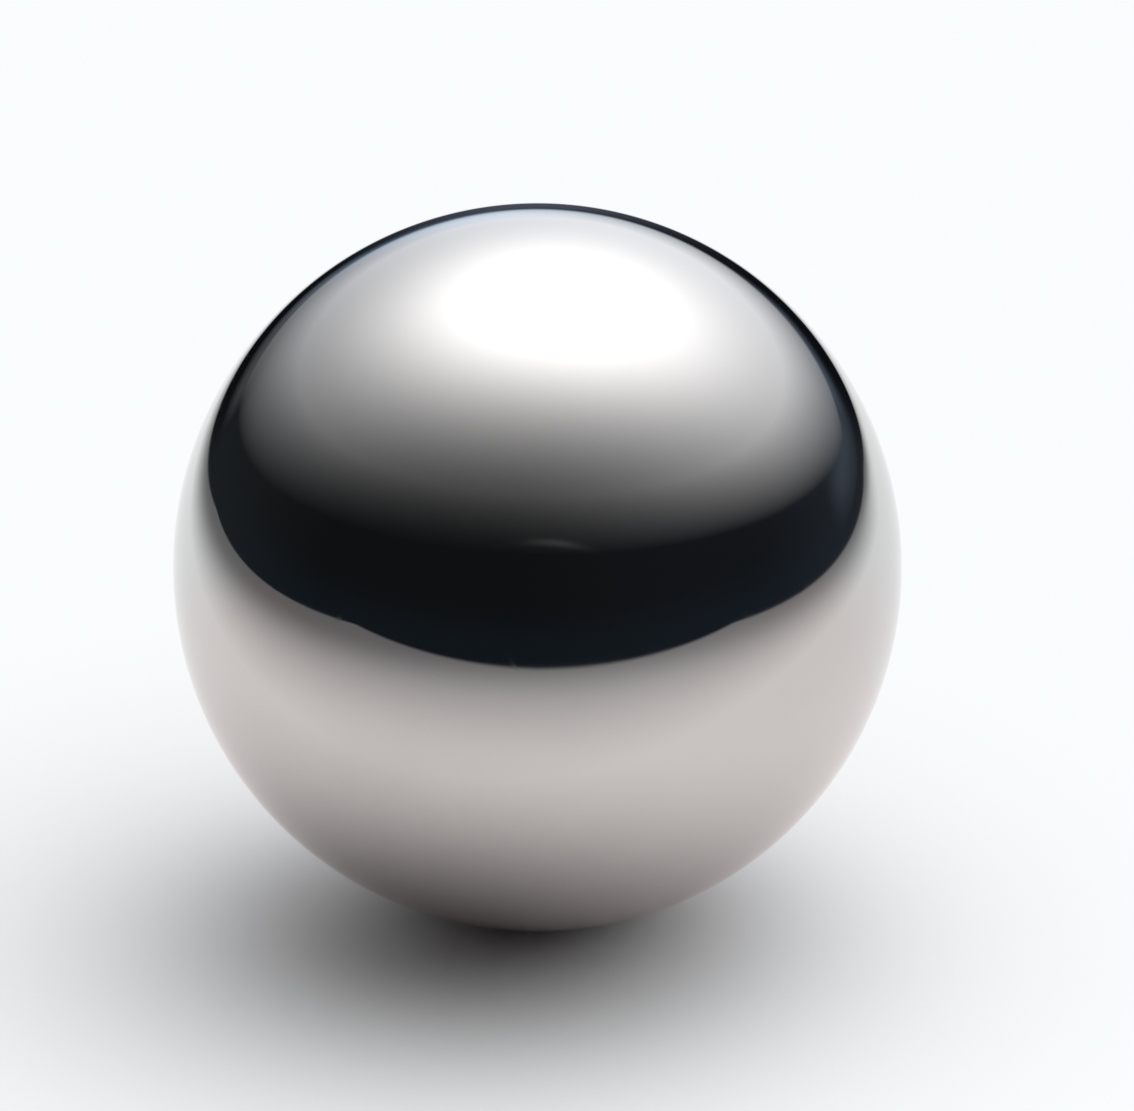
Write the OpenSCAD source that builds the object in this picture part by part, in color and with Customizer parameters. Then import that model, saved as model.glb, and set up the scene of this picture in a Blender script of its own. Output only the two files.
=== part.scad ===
// Solid steel ball, polished to a mirror, in millimetres.
// The origin is the centre of the ball and +Z points up.

/* [Ball] */
// Diameter of the finished ball
ball_d = 80; // [20:1:100]

/* [Hidden] */

// Neutral grey of bare polished steel
steel_grey = [0.60, 0.59, 0.585];

// Facets round the ball's equator, fine enough for a smooth outline
equator_facets = 192;

// A ball is headed from one slug of bar, hardened, ground and then lapped between plates until
// every diameter is the same, so it is one solid with no seam, flat, hole or core.
module ball() {
    color(steel_grey)
        sphere(d = ball_d, $fn = equator_facets);
}

ball();
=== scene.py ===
# %% [markdown]
# # A polished steel ball
#
# This lesson dresses one piece: a solid steel ball, 80 mm across, lapped and polished until it is
# a mirror. A mirror has almost no look of its own. What the eye reads as steel is a bent picture
# of the studio, plus the slight grey and the tiny marks that the metal adds. So the work comes in
# two halves: a surface true enough to carry a reflection, and a small studio worth reflecting.

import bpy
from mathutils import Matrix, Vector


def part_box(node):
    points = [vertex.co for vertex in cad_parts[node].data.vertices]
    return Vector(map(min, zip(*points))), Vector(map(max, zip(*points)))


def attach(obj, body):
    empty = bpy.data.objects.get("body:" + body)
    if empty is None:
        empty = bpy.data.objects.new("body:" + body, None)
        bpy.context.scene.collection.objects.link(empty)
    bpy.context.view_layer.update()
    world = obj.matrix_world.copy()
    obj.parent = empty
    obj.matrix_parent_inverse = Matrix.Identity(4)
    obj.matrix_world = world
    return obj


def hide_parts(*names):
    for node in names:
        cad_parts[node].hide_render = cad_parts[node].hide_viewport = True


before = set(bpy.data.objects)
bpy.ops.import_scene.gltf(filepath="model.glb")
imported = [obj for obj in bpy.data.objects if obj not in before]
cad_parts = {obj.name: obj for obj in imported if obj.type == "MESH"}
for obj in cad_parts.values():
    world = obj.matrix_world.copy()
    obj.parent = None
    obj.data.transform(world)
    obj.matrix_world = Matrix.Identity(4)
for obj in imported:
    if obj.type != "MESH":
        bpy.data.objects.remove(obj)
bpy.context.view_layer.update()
print("packed part:", sorted(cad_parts))

# %% [markdown]
# ## Sizes
#
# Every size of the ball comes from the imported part, in metres. The ball's centre is the origin,
# and the floor that it stands on is one radius below.

# %% Sizes from the part
from math import asin, cos, pi, radians, sin, tan

import bmesh
import bpy
from mathutils import Vector

lowest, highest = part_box("ball")
BALL_D = highest.z - lowest.z
BALL_R = BALL_D / 2
FLOOR_Z = lowest.z
print(f"ball {BALL_D * 1000:.2f} mm across, floor at {FLOOR_Z * 1000:.2f} mm")

# %% [markdown]
# ## Helpers for node trees
#
# A node tree is easier to read when a sum takes one line. `feed` writes a value on a socket, or
# links another socket to it. `calc`, `vec` and `ramp` each make one node and hand back its result,
# so they nest like ordinary sums. They serve shader trees and geometry trees alike.

# %% Helpers for sums
def feed(tree, value, socket):
    if isinstance(value, bpy.types.NodeSocket):
        tree.links.new(value, socket)
    else:
        socket.default_value = value


def calc(tree, operation, *values, clamp=False):
    made = tree.nodes.new("ShaderNodeMath")
    made.operation = operation
    made.use_clamp = clamp
    for value, socket in zip(values, made.inputs):
        feed(tree, value, socket)
    return made.outputs["Value"]


def vec(tree, operation, *values, scale=None):
    made = tree.nodes.new("ShaderNodeVectorMath")
    made.operation = operation
    for value, socket in zip(values, made.inputs):
        feed(tree, value, socket)
    if scale is not None:
        feed(tree, scale, made.inputs["Scale"])
    gives_number = operation in {"DOT_PRODUCT", "LENGTH", "DISTANCE"}
    return made.outputs["Value" if gives_number else "Vector"]


def ramp(tree, value, low, high, start=0.0, end=1.0):
    made = tree.nodes.new("ShaderNodeMapRange")
    made.interpolation_type = "SMOOTHSTEP"
    for given, socket in zip((value, low, high, start, end), made.inputs):
        feed(tree, given, socket)
    return made.outputs["Result"]


def object_place(tree):
    return tree.nodes.new("ShaderNodeTexCoord").outputs["Object"]


print("helpers: feed, calc, vec, ramp, object_place")

# %% [markdown]
# ## The finish: bare steel, lapped to a mirror
#
# Polished steel returns about six tenths of the light that falls on it square, a shade more red
# than blue. Near the edge of the ball, where the light only grazes it, it returns nearly all.
# Principled BSDF does both once Metallic is 1: Base Color is the steel seen face on, and the rim
# brightens by itself.
#
# No lapped surface is perfect, and the polish is a little duller in some places than in others.
# A soft noise on Object coordinates makes broad clouds that stay put on the ball. They pick
# between two greys so close that only a careful eye tells them apart.

# %% Steel and its clouds of haze
STEEL_DULL = (0.593, 0.584, 0.579, 1.0)
STEEL_BRIGHT = (0.607, 0.596, 0.591, 1.0)
HAZE_SIZE, HAZE_DETAIL = 0.022, 3.0
HAZE_STARTS, HAZE_FULL = 0.36, 0.66

steel = bpy.data.materials.new("lapped_steel")
steel.use_nodes = True
tree = steel.node_tree
polish = tree.nodes["Principled BSDF"].inputs
polish["Metallic"].default_value = 1.0
place = object_place(tree)


def cloud(where, size, detail):
    made = tree.nodes.new("ShaderNodeTexNoise")
    feed(tree, where, made.inputs["Vector"])
    made.inputs["Scale"].default_value = 1 / size
    made.inputs["Detail"].default_value = detail
    return made.outputs["Fac"]


haze = ramp(tree, cloud(place, HAZE_SIZE, HAZE_DETAIL), HAZE_STARTS, HAZE_FULL)
tone = tree.nodes.new("ShaderNodeMix")
tone.data_type = "RGBA"
tone_ins = [socket for socket in tone.inputs if socket.enabled]
for value, socket in zip((haze, STEEL_BRIGHT, STEEL_DULL), tone_ins):
    feed(tree, value, socket)
feed(tree, next(socket for socket in tone.outputs if socket.enabled), polish["Base Color"])
print(f"haze clouds about {HAZE_SIZE * 1000:.0f} mm across")

# %% [markdown]
# ### Hairlines
#
# Between the lapping plates the ball rolls and turns at random, so a stray grain cuts short arcs
# that cross in every direction. A plane that slices a ball leaves just such an arc. Here three
# stacks of thin planes, each tilted its own way, slice the ball: a noise that runs along the
# stack's axis alone picks a few of the planes, and a second noise breaks their circles into
# arcs. Where a plane only skims the ball its line would swell, so each stack fades out there.

# %% Hairlines from sliced planes
HAIRLINE_PITCH = 0.0009
LINE_STARTS, LINE_FULL = 0.70, 0.78
ARC_LENGTH, ARC_DETAIL = 0.014, 2.0
ARC_STARTS, ARC_FULL = 0.52, 0.60
SKIM_STARTS, SKIM_FULL = 0.70 * BALL_R, 0.90 * BALL_R
STACK_AXES = ((0.86, 0.21, 0.47), (-0.31, 0.89, 0.34), (0.18, -0.42, 0.89))
FIRST_SEED, SEED_STEP = 0.4, 1.7


def one_stack(axis, seed):
    along = vec(tree, "DOT_PRODUCT", place, tuple(Vector(axis).normalized()))
    lines = tree.nodes.new("ShaderNodeTexNoise")
    lines.noise_dimensions = "1D"
    feed(tree, calc(tree, "ADD", along, seed), lines.inputs["W"])
    lines.inputs["Scale"].default_value = 1 / HAIRLINE_PITCH
    lines.inputs["Detail"].default_value = 0.0
    arcs = cloud(vec(tree, "ADD", place, (seed, seed, seed)), ARC_LENGTH, ARC_DETAIL)
    thin = ramp(tree, lines.outputs["Fac"], LINE_STARTS, LINE_FULL)
    broken = ramp(tree, arcs, ARC_STARTS, ARC_FULL)
    deep = ramp(tree, calc(tree, "ABSOLUTE", along), SKIM_STARTS, SKIM_FULL, 1.0, 0.0)
    return calc(tree, "MULTIPLY", calc(tree, "MULTIPLY", thin, broken), deep)


hairlines = 0.0
for number, axis in enumerate(STACK_AXES):
    seed = SEED_STEP * number + FIRST_SEED
    hairlines = calc(tree, "MAXIMUM", hairlines, one_stack(axis, seed))
print(f"{len(STACK_AXES)} stacks of hairlines, {HAIRLINE_PITCH * 1000:.1f} mm pitch")

# %% [markdown]
# ### Roughness
#
# Haze and hairlines change how sharp the reflection is and hardly touch its colour, so both go
# into Roughness. Bump would be wrong here: a dent deep enough to bend a reflection would be a
# fault in the ball.

# %% Roughness of the polish
ROUGH_CLEAR, ROUGH_HAZY = 0.030, 0.055
HAIRLINE_ROUGH = 0.030

rough = ramp(tree, haze, 0.0, 1.0, ROUGH_CLEAR, ROUGH_HAZY)
rough = calc(tree, "ADD", rough, calc(tree, "MULTIPLY", hairlines, HAIRLINE_ROUGH))
feed(tree, rough, polish["Roughness"])
print(f"roughness from {ROUGH_CLEAR} to {ROUGH_HAZY}, steel tree of {len(tree.nodes)} nodes")

# %% [markdown]
# ## The ball
#
# The real ball starts as a slug of bar, headed to a rough round, hardened, ground, and lapped for
# hours between plates, until it has no pole, seam or flat and every diameter is the same.
#
# A globe made of latitude and longitude lines has two poles, where thin triangles pinch the
# reflection, and a mirror shows that at once. Here a cube of small cells, which reaches from -1
# to 1, is blown up into a ball instead, so the cells stay nearly square and no point is special.
# The tangent spreads the cells to equal angles before each point is pushed out to the radius.
#
# The shape follows one rule, so Geometry Nodes make it. The diameter, the number of cells and the
# finish stay as named inputs.

# %% The tree that blows a cube up into a ball
def lapped_ball_tree():
    tree = bpy.data.node_groups.new("lapped_ball", "GeometryNodeTree")
    sockets = tree.interface
    sockets.new_socket("Diameter", in_out="INPUT", socket_type="NodeSocketFloat")
    sockets.new_socket("Cells along an edge", in_out="INPUT", socket_type="NodeSocketInt")
    sockets.new_socket("Finish", in_out="INPUT", socket_type="NodeSocketMaterial")
    sockets.new_socket("Ball", in_out="OUTPUT", socket_type="NodeSocketGeometry")
    given = tree.nodes.new("NodeGroupInput").outputs

    cube = tree.nodes.new("GeometryNodeMeshCube")
    cube.inputs["Size"].default_value = (2, 2, 2)
    corners = calc(tree, "ADD", given["Cells along an edge"], 1.0)
    for side in ("Vertices X", "Vertices Y", "Vertices Z"):
        tree.links.new(corners, cube.inputs[side])

    point = tree.nodes.new("GeometryNodeInputPosition").outputs["Position"]
    even = vec(tree, "TANGENT", vec(tree, "SCALE", point, scale=pi / 4))
    outward = vec(tree, "NORMALIZE", even)
    radius = calc(tree, "MULTIPLY", given["Diameter"], 0.5)

    blown = tree.nodes.new("GeometryNodeSetPosition")
    tree.links.new(cube.outputs["Mesh"], blown.inputs["Geometry"])
    tree.links.new(vec(tree, "SCALE", outward, scale=radius), blown.inputs["Position"])
    smooth = tree.nodes.new("GeometryNodeSetShadeSmooth")
    tree.links.new(blown.outputs["Geometry"], smooth.inputs["Geometry"])
    real = tree.nodes.new("GeometryNodeRealizeInstances")
    tree.links.new(smooth.outputs["Geometry"], real.inputs["Geometry"])
    finish = tree.nodes.new("GeometryNodeSetMaterial")
    tree.links.new(real.outputs["Geometry"], finish.inputs["Geometry"])
    tree.links.new(given["Finish"], finish.inputs["Material"])
    tree.links.new(finish.outputs["Geometry"], tree.nodes.new("NodeGroupOutput").inputs["Ball"])
    return tree


ball_tree = lapped_ball_tree()
print("ball tree:", len(ball_tree.nodes), "nodes")

# %% [markdown]
# ### From the tree to a plain mesh
#
# An empty object carries the tree as a modifier, and each input is set by its identifier. The
# result is then copied out as an ordinary mesh and the modifier goes, so nothing is left to
# compute. Cells of about 0.65 mm keep the outline round in any close view. Two measures prove
# the ball: its nearest and its furthest point from the centre.

# %% Make the ball and turn it into a plain mesh
CELLS = 96


def make_piece(name, tree, wanted):
    host = bpy.data.objects.new(name, bpy.data.meshes.new(name))
    bpy.context.scene.collection.objects.link(host)
    maker = host.modifiers.new(tree.name, "NODES")
    maker.node_group = tree
    for socket in tree.interface.items_tree:
        if socket.in_out == "INPUT":
            maker[socket.identifier] = wanted[socket.name]
    evaluated = host.evaluated_get(bpy.context.evaluated_depsgraph_get())
    plain = bpy.data.meshes.new_from_object(evaluated)
    if plain.materials[0] is None:
        plain.materials.pop(index=0)
    host.modifiers.remove(maker)
    host.data = plain
    plain.name = name
    return host


ball = make_piece("steel_ball", ball_tree,
                  {"Diameter": BALL_D, "Cells along an edge": CELLS, "Finish": steel})
reach = [point.co.length * 1000 for point in ball.data.vertices]
triangles = sum(len(face.vertices) - 2 for face in ball.data.polygons)
print(f"ball: {triangles} triangles, radius {min(reach):.4f} to {max(reach):.4f} mm, finish",
      [made.name for made in ball.data.materials])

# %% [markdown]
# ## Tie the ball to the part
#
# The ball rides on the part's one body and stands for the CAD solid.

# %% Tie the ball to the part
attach(ball, "root")
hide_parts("ball")
print("steel_ball stands for the solid ball")

# %% [markdown]
# ## The studio
#
# A mirror ball sees nearly the whole room, so the room is made with some care: a pale floor, a
# light tent overhead, and what lies beyond the light. Small helpers turn a form into an object,
# make a flat disc and an empty material, and make one shader or a blend of two.

# %% Helpers for the studio
STUDIO_R = 1.6
DISC_R, DISC_SIDES = 1.05 * STUDIO_R, 96


def stage_object(name, form):
    mesh = bpy.data.meshes.new(name)
    form.to_mesh(mesh)
    form.free()
    made = bpy.data.objects.new(name, mesh)
    bpy.context.scene.collection.objects.link(made)
    return made


def make_disc(name, z):
    form = bmesh.new()
    bmesh.ops.create_circle(form, cap_ends=True, radius=DISC_R, segments=DISC_SIDES)
    bmesh.ops.translate(form, verts=form.verts, vec=(0, 0, z))
    return stage_object(name, form)


def blank_material(name):
    made = bpy.data.materials.new(name)
    made.use_nodes = True
    made.node_tree.nodes.clear()
    out = made.node_tree.nodes.new("ShaderNodeOutputMaterial")
    return made, made.node_tree, out.inputs["Surface"]


def shader(tree, kind, colour):
    made = tree.nodes.new(kind)
    feed(tree, colour, made.inputs["Color"])
    return made.outputs[0]


def blend(tree, share, first, second):
    made = tree.nodes.new("ShaderNodeMixShader")
    for value, socket in zip((share, first, second), made.inputs):
        feed(tree, value, socket)
    return made.outputs[0]


print(f"studio {2 * STUDIO_R:.1f} m across")

# %% [markdown]
# ## The floor and the backdrop
#
# Close to the ball the floor is matt paint, so it keeps the ball's soft shadow. Further out it
# turns into the even white of the backdrop, like the paper sweep in a product studio. Only the
# camera and the mirror see that white, so it throws no extra light on the ball; for any other
# ray the floor is paint and the backdrop is dimmer. The painted patch lies a little to the left,
# on the side where the lamp leaves the longer shadow.

# %% Floor and backdrop
WHITE = (0.955, 0.975, 0.985, 1.0)
FLOOR_PAINT = (0.930, 0.940, 0.950, 1.0)
SHADOW_CENTRE = (-0.012, 0.0, FLOOR_Z)
SHADOW_KEPT, SHADOW_GONE = 0.014, 0.092
BACKDROP_LIGHT = 0.8


def seen(tree):
    path = tree.nodes.new("ShaderNodeLightPath").outputs
    mirrored = calc(tree, "ADD", path["Is Glossy Ray"], path["Is Transmission Ray"])
    return calc(tree, "ADD", path["Is Camera Ray"], mirrored, clamp=True)


floor = make_disc("floor", FLOOR_Z)
paint, tree, surface = blank_material("pale_floor")
away = vec(tree, "DISTANCE", object_place(tree), SHADOW_CENTRE)
white = calc(tree, "MULTIPLY", seen(tree), ramp(tree, away, SHADOW_KEPT, SHADOW_GONE))
feed(tree, blend(tree, white, shader(tree, "ShaderNodeBsdfDiffuse", FLOOR_PAINT),
                 shader(tree, "ShaderNodeEmission", WHITE)), surface)
floor.data.materials.append(paint)

world = bpy.data.worlds.new("backdrop")
bpy.context.scene.world = world
world.use_nodes = True
tree = world.node_tree
backdrop = tree.nodes["Background"].inputs
backdrop["Color"].default_value = WHITE
feed(tree, calc(tree, "MAXIMUM", seen(tree), BACKDROP_LIGHT), backdrop["Strength"])
print("floor and backdrop ready")

# %% [markdown]
# ## The light tent
#
# One big lamp behind a dome of thin cloth is the softest light there is, and a mirror shows the
# whole dome: the bright heart of the lamp, the glow that spreads from it through the cloth, and
# the dark room past the tent's edge.
#
# The glow is painted on the dome through a fish-eye map. Straight up is the middle of the map,
# and the distance from the middle is the angle from straight up, in degrees. The first number of
# a place is how far it lies to the right, the second how far behind the ball. On that map each
# light is a plain soft ellipse.
#
# A mirror finds the lights by following its own reflection. Aiming extra rays at the whole dome
# would only cost time, so that sampling is switched off.

# %% The dome and its fish-eye map
DOME_SIDES, DOME_RINGS = 64, 48
DOME_FOOT = FLOOR_Z + 0.001


def make_dome(name):
    form = bmesh.new()
    bmesh.ops.create_uvsphere(form, u_segments=DOME_SIDES, v_segments=DOME_RINGS,
                              radius=STUDIO_R)
    everything = form.verts[:] + form.edges[:] + form.faces[:]
    bmesh.ops.bisect_plane(form, geom=everything, plane_co=(0, 0, DOME_FOOT),
                           plane_no=(0, 0, -1), clear_outer=True)
    return stage_object(name, form)


tent = make_dome("light_tent")
glow, tree, surface = blank_material("light_tent")
glow.cycles.emission_sampling = "NONE"
look = vec(tree, "NORMALIZE", object_place(tree))
height = vec(tree, "DOT_PRODUCT", look, (0, 0, 1))
from_zenith = calc(tree, "DEGREES", calc(tree, "ARCCOSINE", height))
bearing = vec(tree, "NORMALIZE", vec(tree, "MULTIPLY", look, (1, 1, 0)))
fisheye = vec(tree, "SCALE", bearing, scale=from_zenith)


def ellipse(centre, size):
    moved = vec(tree, "SUBTRACT", fisheye, (*centre, 0))
    return vec(tree, "LENGTH", vec(tree, "DIVIDE", moved, (*size, 1)))


def bell(tree, distance):
    return calc(tree, "EXPONENT", calc(tree, "MULTIPLY", calc(tree, "POWER", distance, 2.0), -0.5))


print("dome map: 0 is straight up, 90 is the horizon")

# %% [markdown]
# ### The tent's mouth
#
# The cloth doesn't reach the floor. It ends in a round mouth, and the light fades over the last
# part before it, because a lamp lights the edge of a tent least. Behind the ball the cloth hangs
# lower and ends more sharply, at a set angle from straight up.

# %% Where the cloth glows
MOUTH_CENTRE, MOUTH_SIZE = (1.3, 13.7), (76.0, 77.9)
MOUTH_FADE, MOUTH_POWER = 0.223, 0.90
BEHIND_FROM, BEHIND_TO = 81.1, 86.3

inward = calc(tree, "SUBTRACT", 1.0, ellipse(MOUTH_CENTRE, MOUTH_SIZE))
mouth = calc(tree, "POWER", calc(tree, "DIVIDE", inward, MOUTH_FADE, clamp=True), MOUTH_POWER)
above = calc(tree, "SUBTRACT", BEHIND_TO, from_zenith)
behind = calc(tree, "DIVIDE", above, BEHIND_TO - BEHIND_FROM, clamp=True)
inside = calc(tree, "MINIMUM", mouth, behind)
print(f"cloth ends {MOUTH_SIZE[0]:.0f} degrees to the sides, {BEHIND_TO} behind")

# %% [markdown]
# ### The lamp and its glow
#
# Three soft ellipses make the light: the lamp itself, high and a little behind the ball, a wide
# cool glow low behind it, and a faint one from the right. Each fades like a bell curve, as light
# does in cloth, and the three are added up.

# %% Lights on the cloth
LAMP = {"centre": (4.8, 19.6), "size": (27.5, 24.7), "colour": (2.174, 2.149, 2.128)}
CLOTH_GLOW = {"centre": (13.9, 119.6), "size": (56.9, 56.9), "colour": (1.236, 1.293, 1.371)}
SIDE_GLOW = {"centre": (74.2, 32.5), "size": (45.6, 59.5), "colour": (0.247, 0.247, 0.247)}


def add_light(tree, total, colour, strength):
    return vec(tree, "ADD", total, vec(tree, "SCALE", colour, scale=strength))


total = (0, 0, 0)
for light in (LAMP, CLOTH_GLOW, SIDE_GLOW):
    strength = calc(tree, "MULTIPLY", bell(tree, ellipse(light["centre"], light["size"])), inside)
    total = add_light(tree, total, light["colour"], strength)
print("light tent: lamp, cloth glow, side glow")

# %% [markdown]
# ### The room past the tent
#
# Past the tent's edge the room is dark but not black. It gets bluer toward the horizon in front
# and toward the right, and it is lighter at both rear corners than in front or straight behind.
# Such faint light matters: the dark band is where a mirror looks either like steel or like black
# paint. The room's colour is a function of the bearing, because the dome and the floor both need
# it, and they have to meet without a step.

# %% The dark room
ROOM = (0.0076, 0.0090, 0.0098)
ROOM_RIGHT, RIGHT_RISE = (0.0030, 0.0038, 0.0062), (-0.2, 1.0)
ROOM_LOW, LOW_RISE = (0.0014, 0.0040, 0.0077), (80.0, 92.0)
ROOM_BEHIND, LOW_BEHIND, REAR_RISE = 2.0, 0.3, (-0.4, 0.6)
ROOM_CENTRE, REAR_FALL = 0.25, (0.7, 0.9)


def room(tree, bearing, low):
    right = vec(tree, "DOT_PRODUCT", bearing, (1, 0, 0))
    rear = vec(tree, "DOT_PRODUCT", bearing, (0, 1, 0))
    low = calc(tree, "MULTIPLY", ramp(tree, rear, *REAR_RISE, 1.0, LOW_BEHIND), low)
    colour = add_light(tree, ROOM, ROOM_RIGHT, ramp(tree, right, *RIGHT_RISE))
    colour = add_light(tree, colour, ROOM_LOW, low)
    share = calc(tree, "MULTIPLY", ramp(tree, rear, *REAR_RISE, 1.0, ROOM_BEHIND),
                 ramp(tree, rear, *REAR_FALL, 1.0, ROOM_CENTRE))
    return vec(tree, "SCALE", colour, scale=share)


total = vec(tree, "ADD", total, room(tree, bearing, ramp(tree, from_zenith, *LOW_RISE)))
print("dark room added past the tent")

# %% [markdown]
# ### Faint things low behind the ball
#
# A few dim shapes stand low in the room: three patches of wall that catch some stray light, two
# at the right rear and one at the left, and a narrow gap of blue light straight behind, which
# crosses the horizon. A wall's `side` is its bearing from straight behind, to the right.

# %% Walls and the gap
WALLS = ({"side": radians(50), "reach": 0.925, "height": 86.0, "soft": 3.0,
          "colour": (0.037, 0.049, 0.063)},
         {"side": radians(28), "reach": 0.970, "height": 86.3, "soft": 1.6,
          "colour": (0.055, 0.072, 0.099)},
         {"side": radians(-26), "reach": 0.960, "height": 87.0, "soft": 2.1,
          "colour": (0.078, 0.075, 0.081)})
GAP_COLOUR, GAP_WIDTH = (0.070, 0.078, 0.110), 0.085
GAP_HEIGHT, GAP_SOFT = 91.0, 2.5


def at_height(middle, soft):
    return bell(tree, calc(tree, "DIVIDE", calc(tree, "SUBTRACT", from_zenith, middle), soft))


def gap(tree, bearing):
    sideways = calc(tree, "DIVIDE", vec(tree, "DOT_PRODUCT", bearing, (1, 0, 0)), GAP_WIDTH)
    rear = calc(tree, "GREATER_THAN", vec(tree, "DOT_PRODUCT", bearing, (0, 1, 0)), 0.0)
    return calc(tree, "MULTIPLY", bell(tree, sideways), rear)


strength = calc(tree, "MULTIPLY", at_height(GAP_HEIGHT, GAP_SOFT), gap(tree, bearing))
total = add_light(tree, total, GAP_COLOUR, strength)
for wall in WALLS:
    faces = vec(tree, "DOT_PRODUCT", bearing, (sin(wall["side"]), cos(wall["side"]), 0))
    strength = calc(tree, "MULTIPLY", at_height(wall["height"], wall["soft"]),
                    ramp(tree, faces, wall["reach"], 1.0))
    total = add_light(tree, total, wall["colour"], strength)
print(f"{len(WALLS)} patches of wall and a gap")

# %% [markdown]
# ### The cloth's rim and its hem, and the finished dome
#
# Where the cloth is thin at its rim behind the ball it glows blue. In front, a stretch of the hem
# catches the lamp as one thin pale line at the top of the dark. The camera looks through the
# dome, and the dome throws no shadow.

# %% The rim, the hem and the finished dome
CLOTH_RIM = {"centre": (-8.5, 80.9), "size": (11.5, 3.6), "colour": (0.164, 0.268, 0.381)}
HEM = {"centre": (7.0, -60.5), "size": (6.5, 0.72), "colour": (0.040, 0.040, 0.039)}

for light in (CLOTH_RIM, HEM):
    strength = bell(tree, ellipse(light["centre"], light["size"]))
    total = add_light(tree, total, light["colour"], strength)
feed(tree, shader(tree, "ShaderNodeEmission", total), surface)
tent.data.materials.append(glow)
tent.visible_camera = False
tent.visible_shadow = False
print(f"dome tree of {len(tree.nodes)} nodes")

# %% [markdown]
# ## The card
#
# Below the horizon a mirror ball shows what it stands on. Here that is a pale card on a bench in
# the dark room. The card is a thin film just above the floor that only reflections can see, so
# the camera's floor stays white out to the edge of the view. Where the film is clear the floor
# shows through, and that is the card.
#
# The card isn't cut quite square: its front edge slants on the left half, its back edge on the
# right half. Each edge is a soft step, and the four steps are multiplied.

# %% The card's edges
CARD_LEFT, CARD_RIGHT = -0.645, 0.530
CARD_FRONT, CARD_BACK = -0.303, 0.410
CARD_SLANT, CARD_SOFT = 0.21, 0.026
FILM_Z = FLOOR_Z + 0.0005

card = make_disc("card_and_room", FILM_Z)
dim, tree, surface = blank_material("card_and_room")
dim.cycles.emission_sampling = "NONE"
spot = object_place(tree)
split = tree.nodes.new("ShaderNodeSeparateXYZ")
feed(tree, spot, split.inputs[0])
x, y = split.outputs["X"], split.outputs["Y"]


def slanted(half):
    aside = calc(tree, half, x, 0.0)
    return calc(tree, "SUBTRACT", y, calc(tree, "MULTIPLY", aside, CARD_SLANT))


def past(value, line, start=0.0, end=1.0):
    return ramp(tree, value, line - CARD_SOFT, line + CARD_SOFT, start, end)


on_card = past(x, CARD_LEFT)
for side in (past(x, CARD_RIGHT, 1.0, 0.0), past(slanted("MINIMUM"), CARD_FRONT),
             past(slanted("MAXIMUM"), CARD_BACK, 1.0, 0.0)):
    on_card = calc(tree, "MULTIPLY", on_card, side)
print(f"card {CARD_RIGHT - CARD_LEFT:.2f} m by {CARD_BACK - CARD_FRONT:.2f} m")

# %% [markdown]
# ### Painted light on the card
#
# The card is brightest near the ball and darker further out. That falloff is painted light: a
# few soft round pools of painted light, each with a place, a size and a strength, say how clear
# the film is there, and `POOL_REST` is what is left far from all of them. Just in front of the
# ball the film is tinted warm, a painted warm light, and toward the back it is neutral.

# %% Painted pools of light and painted warm light
PAINTED_POOLS = (((0.023, 0.096, 0.0), 0.155, 1.320), ((0.240, 0.330, 0.0), 0.100, 0.500),
         ((-0.080, 0.270, 0.0), 0.130, 0.300), ((0.318, -0.052, 0.0), 0.301, 0.110))
POOL_REST = 0.182
# painted warm light: the film is tinted warm just in front of the ball
PAINTED_WARM_LIGHT, WARM_LEAST = (0.0, 0.07, 0.09), 0.5
WARM_FRONT, WARM_BACK = (-0.19, -0.10), (0.0, 0.12)

flat = vec(tree, "MULTIPLY", spot, (1, 1, 0))
# painted pools of light: the film is clearer near the ball, which paints the lamp's falloff
lit = POOL_REST
for centre, size, peak in PAINTED_POOLS:
    pool = bell(tree, calc(tree, "DIVIDE", vec(tree, "DISTANCE", flat, centre), size))
    lit = calc(tree, "ADD", lit, calc(tree, "MULTIPLY", pool, peak))
lit = calc(tree, "MINIMUM", lit, 1.0)
painted_warm_share = calc(tree, "MULTIPLY", ramp(tree, y, *WARM_FRONT, WARM_LEAST, 1.0),
            ramp(tree, y, *WARM_BACK, 1.0, 0.0))
tint = vec(tree, "SUBTRACT", (1, 1, 1), vec(tree, "SCALE", PAINTED_WARM_LIGHT, scale=painted_warm_share))
film = shader(tree, "ShaderNodeBsdfTransparent", vec(tree, "SCALE", tint, scale=lit))
print(f"{len(PAINTED_POOLS)} pools of light on the card")

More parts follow.
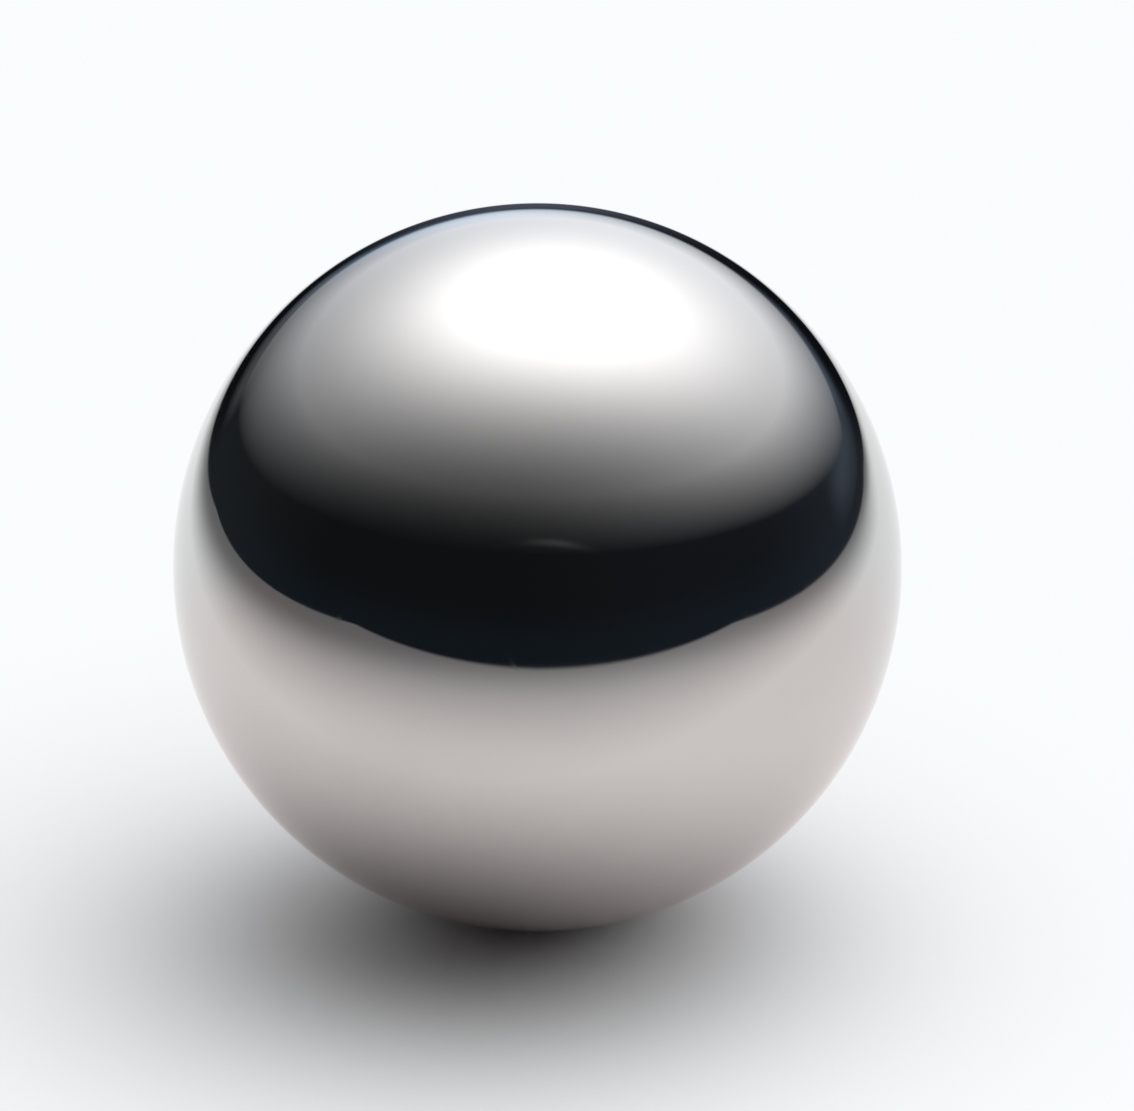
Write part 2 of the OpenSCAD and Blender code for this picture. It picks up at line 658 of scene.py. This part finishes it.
# %% [markdown]
# ### The dark bench round the card
#
# Past the card's edges the film is as dark as the room, from the same function that colours the
# dome, so the bench and the room meet at the horizon. The gap behind leaves its streak of light
# on the bench too. Only reflections see the finished film.

# %% The dark bench
floor_bearing = vec(tree, "NORMALIZE", flat)
bench = add_light(tree, room(tree, floor_bearing, 1.0), GAP_COLOUR, gap(tree, floor_bearing))
dark = shader(tree, "ShaderNodeEmission", bench)
feed(tree, blend(tree, on_card, dark, film), surface)
card.data.materials.append(dim)
for ray in ("camera", "diffuse", "transmission", "shadow", "volume_scatter"):
    setattr(card, "visible_" + ray, False)
print(f"card tree of {len(tree.nodes)} nodes")

# %% [markdown]
# ## The camera
#
# A ball looks the same size from any side, so the camera's height is read from what it reflects.
# The lens is chosen so that the ball's outline fills the right share of the frame, and the camera
# is aimed a little beside the ball, which puts the ball at its place in the frame.

# %% Camera
IMAGE_W, IMAGE_H = 1134, 1111
BALL_X, BALL_Y, BALL_RADIUS_PX = 537.5, 567.0, 364.5
CAMERA_UP = radians(22)
CAMERA_AWAY = 0.65
NEAREST, FURTHEST = 0.05, 10
SENSOR = 36.0

camera = bpy.data.objects.new("camera", bpy.data.cameras.new("camera"))
bpy.context.scene.collection.objects.link(camera)
bpy.context.scene.camera = camera
half_angle = asin(BALL_R / CAMERA_AWAY)
camera.data.sensor_width = SENSOR
camera.data.lens = BALL_RADIUS_PX / IMAGE_W * SENSOR / tan(half_angle)
camera.data.clip_start, camera.data.clip_end = NEAREST, FURTHEST
pixel = SENSOR / IMAGE_W / camera.data.lens * CAMERA_AWAY
eye = Vector((0, -cos(CAMERA_UP), sin(CAMERA_UP))) * CAMERA_AWAY
right = Vector((1, 0, 0))
upward = Vector((0, sin(CAMERA_UP), cos(CAMERA_UP)))
target = right * (IMAGE_W / 2 - BALL_X) * pixel + upward * (BALL_Y - IMAGE_H / 2) * pixel
camera.location = eye
camera.rotation_euler = (target - eye).to_track_quat("-Z", "Y").to_euler()
bpy.context.scene.view_settings.view_transform = "Standard"
print(f"lens {camera.data.lens:.1f} mm, camera {CAMERA_AWAY * 1000:.0f} mm from the ball's centre")
